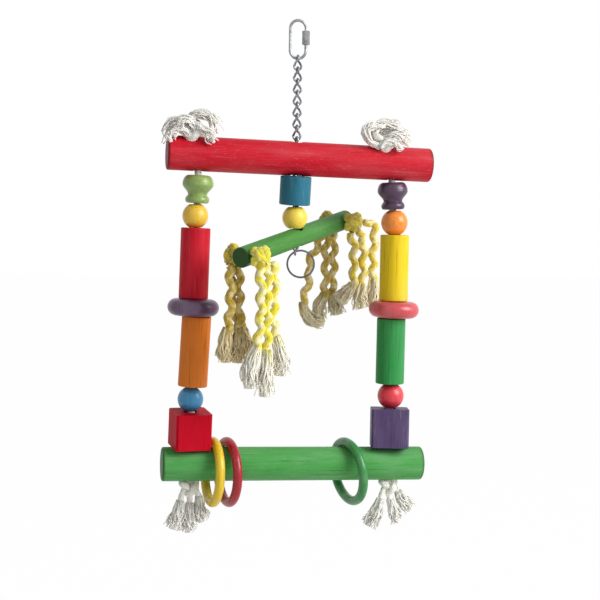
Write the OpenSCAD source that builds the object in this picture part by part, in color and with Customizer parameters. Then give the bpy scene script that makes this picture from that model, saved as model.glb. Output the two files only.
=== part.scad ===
// Ring bird swing: two round bars hung one under the other on two strung ropes, with a cross perch
// in the middle, all carried by one twisted-link chain. Origin: middle of the wire at the top of the
// quick link, where it hangs. +Z is up, +X runs along the bars, +Y points away from the viewer.

/* [Hang eye] */
// Length of the quick link over its wire
eye_len = 29.5; // [26:0.5:36]
// Width of the quick link over its wire
eye_w = 13.7; // [12:0.1:18]
// Wire of the quick link
eye_wire = 2.1; // [1.6:0.1:2.4]
// Length of the sleeve nut
nut_len = 10; // [8:0.5:12]
// Sleeve nut across its flats
nut_flats = 4.9; // [4:0.1:5.4]

/* [Chain] */
// Wire of the chain links
link_wire = 1.65; // [1.2:0.05:1.8]
// Width of a link over its wire
link_w = 7; // [6.2:0.1:7.2]
// Wooden bores that the chain runs through
chain_bore_d = 9.6; // [9.4:0.1:10.4]

/* [Split ring] */
// Outside of the split ring
split_d = 21.1; // [18:0.1:26]
// Thickness of the ring, measured towards its centre
split_t = 1.4; // [1:0.1:1.8]
// Height of its two coils together
split_h = 2; // [1.4:0.1:2.4]

/* [Bars] */
// Diameter of both bars
bar_d = 25; // [22:0.5:30]
// Length of the top bar
top_bar_len = 196.5; // [180:0.5:230]
// Length of the bottom perch
perch_len = 196.6; // [190:0.5:230]
// Rounding of the bar ends
bar_edge = 1.6; // [0.5:0.1:4]
// Drop from the hang point to the top bar, at the chain
bar_drop = 100; // [80:1:140]
// Slope of the top bar, right end down
bar_slope = 1.58; // [0:0.02:3]
// Middle of the top bar, right of the chain
bar_shift = 3.3; // [0:0.1:8]
// Middle of the bottom perch, right of the chain
perch_shift = 1; // [0:0.1:8]
// Rope hole of the top bar, left of the chain
hole_left = 71.9; // [66:0.1:76]
// Rope hole of the top bar, right of the chain
hole_right = 72.3; // [66:0.1:76]
// Rope holes in both bars
rope_hole_d = 8; // [7:0.1:10]

/* [Strung beads] */
// Bore of the turned beads, dowels, discs and blocks
bead_bore_d = 10; // [9:0.1:11]
// Bore of the balls
ball_bore_d = 8.5; // [8.2:0.1:9.4]
// Height of the turned beads
turned_h = 20.2; // [16:0.1:26]
// Widest part of the turned beads
turned_d = 22.5; // [19:0.1:26]
// Waist of the turned beads
turned_waist_d = 13.8; // [12.6:0.1:16]
// Lip at the foot of the turned beads
turned_lip_d = 17.4; // [16.8:0.1:21]
// Balls on the left rope
left_ball_d = 18.8; // [16:0.1:22]
// Balls on the right rope
right_ball_d = 19.8; // [16:0.1:22]
// Diameter of the strung dowels
dowel_d = 21.4; // [18:0.1:25]
// Dowels on the left rope
left_dowel_len = 51.2; // [40:0.1:62]
// Dowels on the right rope
right_dowel_len = 49.2; // [40:0.1:62]
// Rounding of the dowel ends
dowel_edge = 0.8; // [0.3:0.1:2]
// Diameter of the discs
disc_d = 37.5; // [30:0.1:44]
// Thickness of the discs, fully rounded at the rim
disc_h = 12.1; // [9:0.1:14]
// Width and depth of the left block
left_block_w = 26.5; // [22:0.1:27]
// Height of the left block
left_block_h = 26.4; // [22:0.1:32]
// Width and depth of the right block
right_block_w = 28; // [22:0.1:30]
// Height of the right block
right_block_h = 28.8; // [22:0.1:32]
// Softening of the block edges
block_edge = 1.3; // [0.5:0.1:3]
// Bare rope between the top bar and the left stack
left_slack = 2.4; // [1:0.1:8]
// Bare rope between the top bar and the right stack
right_slack = 1; // [0.6:0.1:8]

/* [Hanger and cross perch] */
// Diameter of the hanger dowel
hanger_d = 22.8; // [18:0.1:26]
// Length of the hanger dowel
hanger_len = 20.8; // [16:0.1:28]
// Ball under the hanger dowel
hanger_ball_d = 18.4; // [16:0.1:22]
// Diameter of the cross perch
cross_d = 14.5; // [13:0.1:18]
// Bore of the cross perch, upright through it
cross_bore_d = 10.2; // [9.8:0.1:10.6]
// Cross perch, from its bore to the near end
cross_near = 67.5; // [64:0.5:69]
// Cross perch, from its bore to the far end
cross_far = 67; // [65:0.5:72]
// Turn of the cross perch away from the bars
cross_turn = 43; // [35:1:70]
// Climb of the cross perch to its far end
cross_climb = 11.5; // [6:0.5:12]
// Rope holes across the perch, from its ends
cross_hole_inset = 8; // [7:0.5:10]
// Rope holes across the perch
cross_hole_d = 7; // [6.4:0.1:8]

/* [Loose rings] */
// Outside of the wooden rings
ring_d = 51.5; // [46:0.1:56]
// Round section of the wooden rings
ring_section = 6.9; // [5:0.1:7.2]
// Yellow ring, left of the chain
yellow_ring_x = 59.6; // [59:0.1:60]
// Red ring, left of the chain
red_ring_x = 48.4; // [20:0.1:48.6]
// Green ring, right of the chain
green_ring_x = 43.2; // [0:0.1:44]

/* [Ropes] */
// White cotton rope that carries the bottom perch
rope_d = 5.5; // [4.5:0.1:5.8]
// Crimped strands on the cross perch, over their waves
strand_d = 6.5; // [5:0.1:6.5]
// Frayed tails under the bottom perch
tail_d = 5; // [4:0.1:5.2]

/* [Fit] */
// Space between neighbours that rest on each other
seat = 0.3; // [0.2:0.05:0.5]
// Space between the parts of one link and the next
link_gap = 0.25; // [0.2:0.05:0.4]
// Extra space between the last link and the split ring's square corners
ring_gap = 0.3; // [0.15:0.05:0.4]
// Running space round the wire in the sleeve nut
nut_play = 0.05; // [0.02:0.01:0.1]
// Space that the split ring keeps under the cross perch all round
split_play = 0.1; // [0.05:0.05:1]

/* [Hidden] */
$fn = 64;

// Dyes and metal
steel = "#a9adb2";
red = "#c2243a";
green = "#3f9b45";
blue = "#2f7fae";
yellow = "#e2c33a";
orange = "#e07a2f";
purple = "#4a355f";
cotton = "#e8e0d2";

// Bar geometry, X and Z in the plane of the frame
bar_r = bar_d / 2;
rise = tan(bar_slope);
function bar_z(x) = -bar_drop - x * rise;
function bar_under(x) = bar_z(x) - bar_r / cos(bar_slope);

// The two strings of beads, each from the top: turned bead, ball, dowel, disc, dowel, ball, block
LEFT = 0;
RIGHT = 1;
post_x = [
  [-72.3, -73.9, -74.2, -74.9, -73.7, -76.5, -76.6],
  [73.5, 75.2, 75.7, 76.1, 74.3, 75.2, 74.6]
];
post_y = [[0, 0, 0, -0.3, -0.7, -1.3, 0], [0, 0, 0, 0.3, 0.7, 1.3, 0]];
post_lean = [[2.5, 0, 1.6, 2, 3, 0, 0], [-2.5, 0, 0, 1.6, 0.4, 0, 0]];
block_tip = [4, -4];
block_yaw = [8, -12];
slack = [left_slack, right_slack];
hole_x = [-hole_left, hole_right];
ball_d = [left_ball_d, right_ball_d];
dowel_len = [left_dowel_len, right_dowel_len];
block_w = [left_block_w, right_block_w];
block_h = [left_block_h, right_block_h];
bead_bore_r = bead_bore_d / 2;
BALLS = [1, 5];
BLOCK = 6;
function is_ball(i) = i == BALLS[0] || i == BALLS[1];
function half_height(s, i) =
  [turned_h / 2, 0, dowel_len[s] / 2, disc_h / 2, dowel_len[s] / 2, 0, block_h[s] / 2][i];

// Height of a ball above the rim of the bore that it sits in, for a rim that is off its axis or tilted
function ball_seat(ball_r, bore_r, off, tilt) =
  sqrt(pow(ball_r + seat, 2) - pow(bore_r - min(off, bore_r), 2)) + bore_r * sin(tilt);
function face_x(s, i, end) = post_x[s][i] + end * half_height(s, i) * sin(post_lean[s][i]);
function post_ball_seat(s, ball, other) =
  let (end = ball < other ? 1 : -1)
  let (rim_y = post_y[s][other] - (other == BLOCK ? block_h[s] * sin(block_tip[s]) : 0))
  let (off = norm([face_x(s, other, end) - post_x[s][ball], rim_y - post_y[s][ball]]))
  let (tilt = other == BLOCK ? abs(block_tip[s]) : abs(post_lean[s][other]))
  half_height(s, other) + ball_seat(ball_d[s] / 2, bead_bore_r, off, tilt);
function flat_drop(s, i) =
  half_height(s, i) + half_height(s, i + 1) + seat
  + dowel_d / 2 * sin(abs(post_lean[s][i] - post_lean[s][i + 1]));
function drop(s, i) =
  is_ball(i) ? post_ball_seat(s, i, i + 1)
  : is_ball(i + 1) ? post_ball_seat(s, i + 1, i)
  : flat_drop(s, i);
function post_z(s, i) =
  i < 1
  ? bar_under(hole_x[s]) - slack[s] - turned_h / 2 - turned_lip_d / 2 * sin(abs(post_lean[s][0]))
  : post_z(s, i - 1) - drop(s, i - 1);

// The bottom perch hangs where the two stacks end
function perch_axis_z(s) =
  post_z(s, BLOCK) - block_h[s] / 2 * cos(block_tip[s]) - (bar_r + seat) / cos(block_tip[s]);
block_x = [post_x[LEFT][BLOCK], post_x[RIGHT][BLOCK]];
perch_fall = (perch_axis_z(LEFT) - perch_axis_z(RIGHT)) / (block_x[RIGHT] - block_x[LEFT]);
perch_slope = atan(perch_fall);
function perch_z(x) = perch_axis_z(LEFT) - (x - block_x[LEFT]) * perch_fall;

// Hanger stack on the chain, under the top bar
chain_bore_r = chain_bore_d / 2;
hanger_tip = 4;
hanger_at = [-0.5, 0];
hanger_z = bar_z(hanger_at[0]) - (hanger_len / 2 + bar_r + seat) / cos(hanger_tip);
hanger_foot = [hanger_at[0] - hanger_len / 2 * sin(bar_slope), hanger_len / 2 * sin(hanger_tip)];

// The ball lies in the upper end of the perch's bore and turns with the perch, up to cross_swing. The
// ball lags down the slope of the perch, and the perch up it, by what their bores leave round the chain
cross_swing = 80;
ball_lag = 1;
cross_lag = 1.15;
function uphill(turn) = [cos(cross_turn + turn), sin(cross_turn + turn)];
hanger_ball_at = -ball_lag * uphill(0);
hanger_ball_r = hanger_ball_d / 2;
hanger_ball_z = hanger_z - hanger_len / 2
  - ball_seat(hanger_ball_r, chain_bore_r, norm(hanger_foot + ball_lag * uphill(cross_swing)), hanger_tip);
cross_r = cross_d / 2;
cross_bore_r = cross_bore_d / 2;
cross_at = cross_lag * uphill(0);
cross_mid = (cross_far - cross_near) / 2;
NEAR = cross_hole_inset - cross_near;
FAR = cross_far - cross_hole_inset;
cross_z = hanger_ball_z - cross_r / cos(cross_climb) - cross_bore_r * tan(cross_climb)
  - sqrt(pow(hanger_ball_r + seat, 2) - pow(cross_bore_r + cross_lag + ball_lag, 2));

// Split ring, pushed to the right under the slanted perch, which passes over it as it turns
split_r = split_d / 2;
split_line_r = split_r - split_t / 2;
split_turn = -11.3;
split_side = 4.2;
split_z = cross_z - cross_lag * tan(cross_climb) - split_side * tan(cross_climb)
  - (cross_r + split_r + split_play) / cos(cross_climb);
ring_hold_z = split_z + sqrt(pow(split_line_r, 2) - pow(split_side, 2));
split_notch = 0.25;
split_mouth = 0.8;

// Chain: links of equal spacing between the quick link and the split ring
LINKS = 17;
OUTER_LINKS = 7;
INNER_LINKS = LINKS - OUTER_LINKS;
eye_bottom = -(eye_len - eye_wire);
chain_top = eye_bottom + eye_wire / 2 + link_wire / 2 + link_gap;
chain_foot = ring_hold_z - split_t / 2 / cos(asin(split_side / split_line_r)) - link_wire / 2
  - link_gap - ring_gap;
link_step = (chain_top - chain_foot - link_wire - link_gap) / LINKS;
link_line = link_step + link_wire + link_gap;
link_r = (link_w - link_wire) / 2;
link_bow_z = link_line / 2 - link_r;
knee_r = link_wire / 2 + 0.06;
inner_turn = (90 + split_turn) / INNER_LINKS;
function link_z(k) = chain_top - link_line / 2 - (k - 1) * link_step;

// Loose rings: they hang by the top of their hole
ring_r = (ring_d - ring_section) / 2;
ring_drop = ring_r - ring_section / 2 - bar_r - seat;

// Rope routes, from the knot on the top bar to the knot under the perch
rope_r = rope_d / 2;
knot_r = rope_d + 0.4;
left_route = [
  [-72.3, 0, -118], [-73, 0, -140], [-73.8, 0, -175], [-74.2, -0.2, -207], [-74.2, -0.5, -222],
  [-75, -0.7, -250], [-75.7, -1.1, -274], [-76.1, -0.8, -292]
];
right_route = [
  [72.9, 0, -122], [74.2, 0, -145], [74.6, 0, -175], [74.9, 0.2, -209], [74.7, 0.5, -235],
  [74.3, 0.7, -262], [74.6, 1.1, -280], [74.5, 0.7, -298]
];
// Free ends of the two ropes on the top bar, from the middle of the knot
left_ends = [[-16, -2, 5], [14, -3, 6]];
right_ends = [[-17, -3, 5], [11, -3, 7]];

// Frayed tails, from the foot of the rope hole under the bottom perch
left_tails = [
  [[-6.2, -2.8, -11.6], [-8.4, -4, -22.3], [-12.4, -6, -34.3]],
  [[0.1, -1.2, -14.1], [-0.4, -3, -26.3], [-0.4, -5, -37.3]],
  [[7, 1.6, -12.4], [7.6, 0, -21.3], [10.6, -2, -30.3]]
];
right_tails = [
  [[-6, -2.8, -11.5], [-9.6, -4, -22.1], [-16.6, -5, -34.1]],
  [[0.6, -1.2, -14.1], [3.4, -3, -23.1], [6.4, -5, -32.1]],
  [[7.6, 2, -9.9], [11.4, 0, -16.1], [17.4, -2, -23.1]]
];
// Crimped strands, from the middle of the rope hole that they hang at
near_front_strands = [
  [[4.4, -8.5, -7.9], [4, -8.6, -31.1], [3, -9, -56.1], [1, -9, -76.1], [0, -10, -93.1]],
  [[10.4, -5, -7.7], [11, -6, -31.1], [11, -8, -59.1], [11, -9, -79.1], [12, -10, -98.1]],
  [[15.8, -1.4, -3.1], [18, -1.4, -26.1], [19, -3, -49.1], [21, -4, -79.1]]
];
near_back_strands = [
  [[-11.6, 4, -7.4], [-12, 4, -31.1], [-12, 4, -53.1], [-12, 4, -76.1]],
  [[-6.1, 8.6, -7.7], [-5, 9, -31.1], [-5, 9, -53.1], [-4.6, 9, -75.1]],
  [[-12, 12.4, -7.1], [-11, 14, -27.1], [-10, 14.8, -46.1], [-10, 14.8, -65.1]]
];
far_back_strands = [
  [[-12.2, 5.4, -6.8], [-19, 6.7, -20.6], [-23, 7.7, -35.6], [-24, 8.7, -50.6], [-25, 8.7, -64.6]],
  [[-6.8, 9, -7.7], [-9, 9.7, -23.6], [-10, 10.7, -39.6], [-10, 10.7, -54.6], [-13, 10.7, -68.6]],
  [[-1, 13.3, -6.4], [-1, 13.3, -23.6], [-1.6, 13.3, -39.6], [-2, 12.7, -52.6], [-4, 12.7, -65.6]]
];
far_front_strands = [
  [[3.8, -9.3, -8.5], [7, -7.3, -23.6], [7, -5.3, -38.6], [4, -4.3, -51.6], [0, -3.3, -59.6]],
  [[9.3, -5.2, -7.4], [15, -1.3, -20.6], [17, 1.7, -35.6], [17, 1.7, -48.6], [14, -0.3, -62.6]],
  [[16.4, -3.9, -6.6], [23, -1.7, -14.6], [26, -1.3, -23.6], [26, -1.3, -36.6], [26, -0.3, -49.6],
    [27, -0.3, -62.6]]
];

// Rotates and places a straight round rod between two points
module rod(p, q, r) {
  d = q - p;
  translate(p) rotate([0, acos(d[2] / norm(d)), atan2(d[1], d[0])])
    cylinder(h = norm(d), r = r, $fn = 32);
}

// Sweeps a closed tube along hand-set points
function unit(v) = v / norm(v);
function along(p, i) = unit(p[min(i + 1, len(p) - 1)] - p[max(i - 1, 0)]);
function across(p, i) = unit(cross(along(p, i), [0, 1, 0.2]));
module tube(p, r, sides = 8) {
  rings = [
    for (i = [0 : len(p) - 1], k = [0 : sides - 1])
      let (u = across(p, i))
      let (v = cross(along(p, i), u))
      p[i] + r * (cos(360 * k / sides) * u + sin(360 * k / sides) * v)
  ];
  last = (len(p) - 1) * sides;
  walls = [
    for (i = [0 : len(p) - 2], k = [0 : sides - 1])
      let (a = i * sides + k)
      let (b = i * sides + (k + 1) % sides)
      for (face = [[a, a + sides, b + sides], [a, b + sides, b]]) face
  ];
  caps = [[for (k = [0 : sides - 1]) k], [for (k = [sides - 1 : -1 : 0]) last + k]];
  polyhedron(points = rings, faces = concat(walls, caps));
}

// A turned cylinder with rounded edges and, where bore_r is over zero, a bore along its axis
module turned_rod(r, h, edge, bore_r = 0) {
  rotate_extrude() union() {
    translate([bore_r, -h / 2]) square([r - edge - bore_r, h]);
    translate([bore_r, edge - h / 2]) square([r - bore_r, h - 2 * edge]);
    for (side = [-1, 1]) translate([r - edge, side * (h / 2 - edge)]) circle(edge, $fn = 32);
  }
}

module drilled_ball(r, bore_r) {
  difference() {
    sphere(r, $fn = 96);
    cylinder(h = 3 * r, r = bore_r, center = true);
  }
}

// Half of a ring of wire, standing up from the XY plane
module wire_bow(r, wire) {
  rotate([90, 0, 0]) rotate_extrude(angle = 180) translate([r, 0]) circle(wire / 2, $fn = 32);
}

// Quick link: an oval of wire with a gap in its right leg, which the sleeve nut bridges
eye_r = (eye_w - eye_wire) / 2;
eye_low = eye_bottom + eye_r;
nut_top = -7.4;
eye_gap_top = nut_top - 1.4;
eye_gap_foot = eye_gap_top - 3.2;
module quick_link() {
  color(steel) {
    translate([0, 0, -eye_r]) wire_bow(eye_r, eye_wire);
    translate([0, 0, eye_low]) rotate([180, 0, 0]) wire_bow(eye_r, eye_wire);
    rod([-eye_r, 0, -eye_r], [-eye_r, 0, eye_low], eye_wire / 2);
    rod([eye_r, 0, -eye_r], [eye_r, 0, eye_gap_top], eye_wire / 2);
    rod([eye_r, 0, eye_gap_foot], [eye_r, 0, eye_low], eye_wire / 2);
  }
}

module sleeve_nut() {
  bevel_r = nut_flats / 2 + 0.1;
  bevel_w = 0.6;
  bevel_h = 0.5;
  color(steel) translate([eye_r, 0, nut_top - nut_len]) difference() {
    intersection() {
      cylinder(h = nut_len, r = nut_flats / 2 / cos(30), $fn = 6);
      rotate_extrude() polygon([
        [0, 0], [bevel_r, 0], [bevel_r + bevel_w, bevel_h], [bevel_r + bevel_w, nut_len - bevel_h],
        [bevel_r, nut_len], [0, nut_len]
      ]);
    }
    translate([0, 0, -1]) cylinder(h = nut_len + 2, r = eye_wire / 2 + nut_play);
  }
}

// A twisted link: its top bow stands across the bottom one, and the legs wind a quarter turn
module chain_link() {
  translate([0, 0, link_bow_z]) rotate([0, 0, 90]) wire_bow(link_r, link_wire);
  translate([0, 0, -link_bow_z]) rotate([180, 0, 0]) wire_bow(link_r, link_wire);
  for (turn = [0, 180]) rotate([0, 0, turn]) {
    head = [0, link_r, link_bow_z];
    waist = [link_r * cos(45), link_r * sin(45), 0];
    foot = [link_r, 0, -link_bow_z];
    rod(head, waist, link_wire / 2);
    rod(waist, foot, link_wire / 2);
    for (knee = [head, waist, foot]) translate(knee) sphere(knee_r, $fn = 32);
  }
}

module outer_link(k) {
  color(steel) translate([0, 0, link_z(k)]) chain_link();
}

// The rest of the chain, inside the wood, turning a little at each link towards the split ring
module inner_chain() {
  color(steel) for (i = [1 : INNER_LINKS])
    translate([0, 0, link_z(OUTER_LINKS + i)]) rotate([0, 0, i * inner_turn]) chain_link();
}

module split_ring() {
  ri = split_r - split_t;
  color(steel) translate([split_side * cos(split_turn), split_side * sin(split_turn), split_z])
    rotate([0, 0, split_turn]) rotate([90, 0, 0]) difference() {
      rotate_extrude() polygon([
        [ri, -split_h / 2], [split_r, -split_h / 2], [split_r, -split_notch / 2],
        [split_r - split_notch, 0], [split_r, split_notch / 2], [split_r, split_h / 2],
        [ri, split_h / 2], [ri, split_notch / 2], [ri + split_notch, 0], [ri, -split_notch / 2]
      ]);
      rotate([0, 0, -60]) translate([ri - 1, -split_mouth / 2, 0])
        cube([split_t + 2, split_mouth, split_h]);
    }
}

// Bars along X, with upright bores where they are drilled
module long_bar(length, holes) {
  difference() {
    rotate([0, 90, 0]) turned_rod(bar_r, length, bar_edge);
    for (hole = holes) translate([hole[0], 0, 0]) cylinder(h = bar_d + 2, d = hole[1], center = true);
  }
}

module top_bar() {
  step = 1 / cos(bar_slope);
  color(red) translate([bar_shift, 0, bar_z(bar_shift)]) rotate([0, bar_slope, 0])
    long_bar(top_bar_len, [
      [-bar_shift * step, chain_bore_d],
      [(-hole_left - bar_shift) * step, rope_hole_d],
      [(hole_right - bar_shift) * step, rope_hole_d]
    ]);
}

module bottom_perch() {
  step = 1 / cos(perch_slope);
  color(green) translate([perch_shift, 0, perch_z(perch_shift)]) rotate([0, perch_slope, 0])
    long_bar(perch_len, [for (x = block_x) [(x - perch_shift) * step, rope_hole_d]]);
}

module hanger_dowel() {
  color(blue) translate([hanger_at[0], hanger_at[1], hanger_z]) rotate([0, bar_slope, 0])
    rotate([hanger_tip, 0, 0]) turned_rod(hanger_d / 2, hanger_len, dowel_edge, chain_bore_r);
}

module hanger_ball() {
  color(yellow) translate([hanger_ball_at[0], hanger_ball_at[1], hanger_ball_z])
    drilled_ball(hanger_ball_r, chain_bore_r);
}

// Cross perch: its chain hole runs upright through the slanted dowel, its rope holes level across it
module on_cross_perch(s) {
  translate([cross_at[0], cross_at[1], cross_z]) rotate([0, 0, cross_turn])
    rotate([0, -cross_climb, 0]) translate([s, 0, 0]) children();
}

module cross_perch() {
  color(green) difference() {
    on_cross_perch(cross_mid) rotate([0, 90, 0])
      turned_rod(cross_r, cross_near + cross_far, dowel_edge);
    translate([cross_at[0], cross_at[1], cross_z])
      cylinder(h = 3 * cross_d, r = cross_bore_r, center = true);
    for (s = [NEAR, FAR]) on_cross_perch(s) rotate([90, 0, 0])
      cylinder(h = cross_d + 2, d = cross_hole_d, center = true);
  }
}

// The turned bead: a full round lobe, a waist and a thin lip at its foot
lobe_r = turned_d / 2;
lobe_top_r = 0.62 * lobe_r;
lobe_z = 0.17 * turned_h;
waist_r = turned_waist_d / 2;
waist_z = -0.2 * turned_h;
lip_r = turned_lip_d / 2;
lip_z = -0.375 * turned_h;
turned_points = concat(
  [for (a = [0 : 15 : 90])
    [lobe_top_r + (lobe_r - lobe_top_r) * sin(a), lobe_z + (turned_h / 2 - lobe_z) * cos(a)]],
  [for (t = [0.15 : 0.17 : 1])
    [waist_r + (lobe_r - waist_r) * (1 + cos(180 * t)) / 2, lobe_z + (waist_z - lobe_z) * t]],
  [for (a = [60 : -20 : -80])
    [waist_r + (lip_r - waist_r) * cos(a), lip_z + (lip_z + turned_h / 2) * sin(a)]]
);
module turned_bead() {
  rotate_extrude() polygon(concat(
    [[bead_bore_r, turned_h / 2]], turned_points, [[bead_bore_r, -turned_h / 2]]
  ));
}

module disc() {
  rim = disc_h / 2;
  rotate_extrude() union() {
    translate([bead_bore_r, -rim]) square([disc_d / 2 - rim - bead_bore_r, disc_h]);
    translate([disc_d / 2 - rim, 0]) circle(rim, $fn = 48);
  }
}

// A block with all its edges cut back, drilled through
module block(w, h) {
  corner = (w - block_edge) * sqrt(2);
  slant = ((w + h) / 2 - block_edge) * sqrt(2);
  difference() {
    intersection() {
      cube([w, w, h], center = true);
      rotate([0, 0, 45]) cube([corner, corner, 2 * h], center = true);
      for (turn = [0, 90]) rotate([0, 0, turn]) rotate([45, 0, 0])
        cube([2 * w, slant, slant], center = true);
    }
    cylinder(h = 2 * h, r = bead_bore_r, center = true);
  }
}

module on_post(s, i) {
  translate([post_x[s][i], post_y[s][i], post_z(s, i)]) rotate([0, post_lean[s][i], 0]) children();
}

module post_ball(s, i) {
  on_post(s, i) drilled_ball(ball_d[s] / 2, ball_bore_d / 2);
}

module post_dowel(s, i) {
  on_post(s, i) turned_rod(dowel_d / 2, dowel_len[s], dowel_edge, bead_bore_r);
}

module post_block(s) {
  tip_y = -block_h[s] / 2 * sin(block_tip[s]);
  translate([post_x[s][BLOCK], tip_y, post_z(s, BLOCK)]) rotate([0, perch_slope, 0])
    rotate([block_tip[s], 0, 0]) rotate([0, 0, block_yaw[s]]) block(block_w[s], block_h[s]);
}

module loose_ring(x, yaw, lean) {
  translate([x, 0, perch_z(x) - ring_drop]) rotate([0, 0, yaw]) rotate([0, 90 + lean, 0])
    rotate_extrude($fn = 96) translate([ring_r, 0]) circle(ring_section / 2, $fn = 48);
}

module torus(r, section) {
  rotate_extrude() translate([r, 0]) circle(section, $fn = 32);
}

// A tight stopper knot on the end of a rope: one turn round the rope and a loop drawn up over it
knot_tilt = [78, 0, 25];
knot_loop_r = 0.75;
knot_loop_up = 1.45;
module rope_knot(r, turn_r) {
  translate([0, 0, r + seat]) {
    torus(turn_r, r);
    translate([0.4, 0.3, knot_loop_up * r]) rotate(knot_tilt) torus(knot_loop_r * turn_r, 0.95 * r);
  }
}

function rope_line(s, route) = concat(
  [[hole_x[s] + bar_r * sin(bar_slope), 0, bar_z(hole_x[s]) + bar_r + rope_d]],
  route,
  [[block_x[s] - bar_r * sin(perch_slope), 0, perch_z(block_x[s]) - bar_r - rope_d]]
);

function rope_foot(s) = [block_x[s], 0, perch_z(block_x[s]) - bar_r / cos(perch_slope)];

module knotted_rope(s, route, ends) {
  color(cotton) {
    tube(rope_line(s, route), rope_r, 12);
    translate([hole_x[s], 0, bar_z(hole_x[s]) + bar_r / cos(bar_slope)]) {
      rope_knot(rope_r, knot_r);
      for (end = ends) rod([end[0] / 4, end[1] / 4, knot_r], end, rope_r * 0.8);
    }
    translate(rope_foot(s)) mirror([0, 0, 1]) rope_knot(rope_r, knot_r);
  }
}

// The rope bundle through one end of the cross perch, with a knob of rope on either face
module perch_rope(s) {
  bundle_r = cross_hole_d / 2 - seat;
  knob_r = bundle_r * 0.63;
  color(yellow) on_cross_perch(s) rotate([90, 0, 0]) {
    cylinder(h = cross_d + 3 * knob_r, r = bundle_r, center = true, $fn = 32);
    for (side = [0, 1]) mirror([0, 0, side]) translate([0, 0, cross_r])
      rope_knot(knob_r, bundle_r + knob_r + 0.2);
  }
}

// A crimped strand that hangs at one end of the cross perch
module strand(s, points) {
  at = [cross_at[0], cross_at[1], cross_z]
    + s * [cos(cross_climb) * cos(cross_turn), cos(cross_climb) * sin(cross_turn), sin(cross_climb)];
  color(yellow) translate(at) tube(points, strand_d / 2);
}

module tail(s, points) {
  color(cotton) translate(rope_foot(s)) tube(points, tail_d / 2);
}

quick_link();
sleeve_nut();
outer_link(1);  // chain_link_1
outer_link(2);  // chain_link_2
outer_link(3);  // chain_link_3
outer_link(4);  // chain_link_4
outer_link(5);  // chain_link_5
outer_link(6);  // chain_link_6
outer_link(7);  // chain_link_7
inner_chain();
top_bar();
hanger_dowel();
hanger_ball();
cross_perch();
split_ring();
color(green) on_post(LEFT, 0) turned_bead();  // left_turned_bead
color(yellow) post_ball(LEFT, 1);  // left_upper_ball
color(red) post_dowel(LEFT, 2);  // left_upper_dowel
color(purple) on_post(LEFT, 3) disc();  // left_disc
color(orange) post_dowel(LEFT, 4);  // left_lower_dowel
color(blue) post_ball(LEFT, 5);  // left_lower_ball
color(red) post_block(LEFT);  // left_block
color(purple) on_post(RIGHT, 0) turned_bead();  // right_turned_bead
color(orange) post_ball(RIGHT, 1);  // right_upper_ball
color(yellow) post_dowel(RIGHT, 2);  // right_upper_dowel
color(red) on_post(RIGHT, 3) disc();  // right_disc
color(green) post_dowel(RIGHT, 4);  // right_lower_dowel
color(red) post_ball(RIGHT, 5);  // right_lower_ball
color(purple) post_block(RIGHT);  // right_block
bottom_perch();
color(yellow) loose_ring(-yellow_ring_x, 7, 2.5);  // yellow_ring
color(red) loose_ring(-red_ring_x, 11, 0.5);  // red_ring
color(green) loose_ring(green_ring_x, 16, -6);  // green_ring
knotted_rope(LEFT, left_route, left_ends);  // left_rope
knotted_rope(RIGHT, right_route, right_ends);  // right_rope
tail(LEFT, left_tails[0]);  // left_tail_1
tail(LEFT, left_tails[1]);  // left_tail_2
tail(LEFT, left_tails[2]);  // left_tail_3
tail(RIGHT, right_tails[0]);  // right_tail_1
tail(RIGHT, right_tails[1]);  // right_tail_2
tail(RIGHT, right_tails[2]);  // right_tail_3
perch_rope(NEAR);  // near_rope
perch_rope(FAR);  // far_rope
strand(NEAR, near_front_strands[0]);  // near_front_strand_1
strand(NEAR, near_front_strands[1]);  // near_front_strand_2
strand(NEAR, near_front_strands[2]);  // near_front_strand_3
strand(NEAR, near_back_strands[0]);  // near_back_strand_1
strand(NEAR, near_back_strands[1]);  // near_back_strand_2
strand(NEAR, near_back_strands[2]);  // near_back_strand_3
strand(FAR, far_back_strands[0]);  // far_back_strand_1
strand(FAR, far_back_strands[1]);  // far_back_strand_2
strand(FAR, far_back_strands[2]);  // far_back_strand_3
strand(FAR, far_front_strands[0]);  // far_front_strand_1
strand(FAR, far_front_strands[1]);  // far_front_strand_2
strand(FAR, far_front_strands[2]);  // far_front_strand_3
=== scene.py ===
"""Looks of the ring bird swing: dyed wood, plated wire, twisted cotton rope and crimped yarn.

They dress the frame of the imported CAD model, in its own coordinates.
"""

import math
import random

import bpy
from mathutils import Euler, Matrix, Vector


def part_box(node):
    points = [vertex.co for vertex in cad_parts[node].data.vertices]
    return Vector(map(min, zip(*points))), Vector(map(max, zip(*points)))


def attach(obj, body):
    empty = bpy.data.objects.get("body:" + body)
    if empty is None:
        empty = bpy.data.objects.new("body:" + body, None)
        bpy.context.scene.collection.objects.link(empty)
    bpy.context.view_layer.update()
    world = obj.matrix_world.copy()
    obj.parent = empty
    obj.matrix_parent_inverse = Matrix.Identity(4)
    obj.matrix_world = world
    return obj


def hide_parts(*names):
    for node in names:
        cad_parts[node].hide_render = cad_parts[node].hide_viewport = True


bl_info = {
    "name": "Ring bird swing",
    "version": (1, 0, 0),
    "blender": (4, 5, 0),
    "location": "View3D > Sidebar > Bird swing",
    "description": "Dresses the bird swing's frame with its wood dyes, ropes, yarn and wire",
    "category": "Object",
}

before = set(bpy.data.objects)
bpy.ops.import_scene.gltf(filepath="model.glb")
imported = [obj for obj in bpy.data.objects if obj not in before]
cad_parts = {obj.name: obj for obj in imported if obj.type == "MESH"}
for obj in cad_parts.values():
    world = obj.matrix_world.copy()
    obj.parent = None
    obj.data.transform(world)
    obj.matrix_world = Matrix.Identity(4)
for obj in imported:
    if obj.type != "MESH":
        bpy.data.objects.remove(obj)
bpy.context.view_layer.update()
MM = 0.001

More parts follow.
